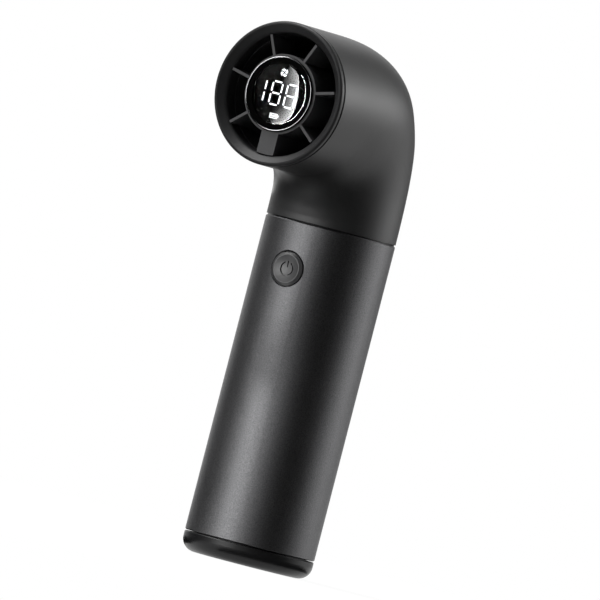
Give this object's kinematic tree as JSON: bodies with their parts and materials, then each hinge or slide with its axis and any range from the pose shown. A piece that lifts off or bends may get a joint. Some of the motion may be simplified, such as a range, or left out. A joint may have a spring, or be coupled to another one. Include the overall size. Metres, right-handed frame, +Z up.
{
  "type": "car dryer blower",
  "caption": "Hand-held turbo jet blower: swept plastic head with vaned round nozzle and display pod, straight aluminium battery handle, round power button.",
  "frame": {"origin": "centre of the flat base face, on the handle's axis", "axes": "+Z up the handle, -Y the way the nozzle blows, +X to the right seen from in front of the nozzle"},
  "size_m": [0.0524, 0.0849, 0.1927],
  "materials": {
    "head_plastic": "soft matte moulded plastic",
    "ring_plastic": "satin moulded plastic",
    "duct_plastic": "matte moulded plastic",
    "gloss_black": "gloss black",
    "bright_ring": "polished",
    "smoked_glass": "clear smoked cover",
    "lit_marks": "lit white",
    "anodised_tube": "bead blasted and anodised dark grey",
    "cap_plastic": "satin black",
    "button_plastic": "satin dark grey",
    "rubber": "soft rubber",
    "steel": "plain steel",
    "cast_alloy": "die-cast alloy",
    "dark_steel": "blackened steel",
    "brass": "machined brass",
    "copper": "enamelled copper",
    "cell_can": "wrapped cell",
    "frame_plastic": "natural moulded plastic",
    "board": "green circuit board",
    "chip": "black component",
    "fan_plastic": "glass-filled plastic",
    "lead_red": "silicone lead",
    "lead_blue": "silicone lead",
    "flex": "polyimide flat cable"
  },
  "bodies": {
    "housing": {"head_shell": "head_plastic", "nozzle_ring": "ring_plastic", "duct_gasket": "rubber", "duct_stator": "duct_plastic", "inlet_bell": "duct_plastic", "rear_grille": "ring_plastic", "front_bearing": "steel", "rear_bearing": "steel", "bearing_plate": "cast_alloy", "stator_core": "steel", "stator_windings": "copper", "display_bezel": "gloss_black", "chrome_ring": "bright_ring", "display_lens": "smoked_glass", "display_segments": "lit_marks", "display_module": "gloss_black", "display_board": "board", "display_cable": "flex", "motor_leads": "lead_blue", "neck_coupler": "cap_plastic", "handle_tube": "anodised_tube", "end_cap": "cap_plastic", "tie_rods": "dark_steel", "boss_inserts": "brass", "battery_frame": "frame_plastic", "battery_cells": "cell_can", "cell_straps": "steel", "control_board": "board", "board_components": "chip", "board_screws": "steel", "tact_switch": "chip", "button_guide": "duct_plastic", "charge_board": "board", "usb_socket": "steel", "charge_leads": "lead_red"},
    "rotor": {"motor_shaft": "steel", "rotor_magnet": "dark_steel", "impeller": "fan_plastic", "impeller_nut": "steel"},
    "button": {"power_button": "button_plastic", "button_seal": "rubber", "button_clip": "steel", "switch_plunger": "chip"}
  },
  "joints": [
    {"name": "fan_spin", "type": "hinge", "parent": "housing", "child": "rotor", "pos_m": [0, -0.025, 0.1665], "axis": [0, 1, 0], "continuous": true},
    {"name": "button_press", "type": "slide", "parent": "housing", "child": "button", "axis": [0, 1, 0], "range_m": [0, 0.0008], "stiffness_N_per_m": 1500}
  ]
}
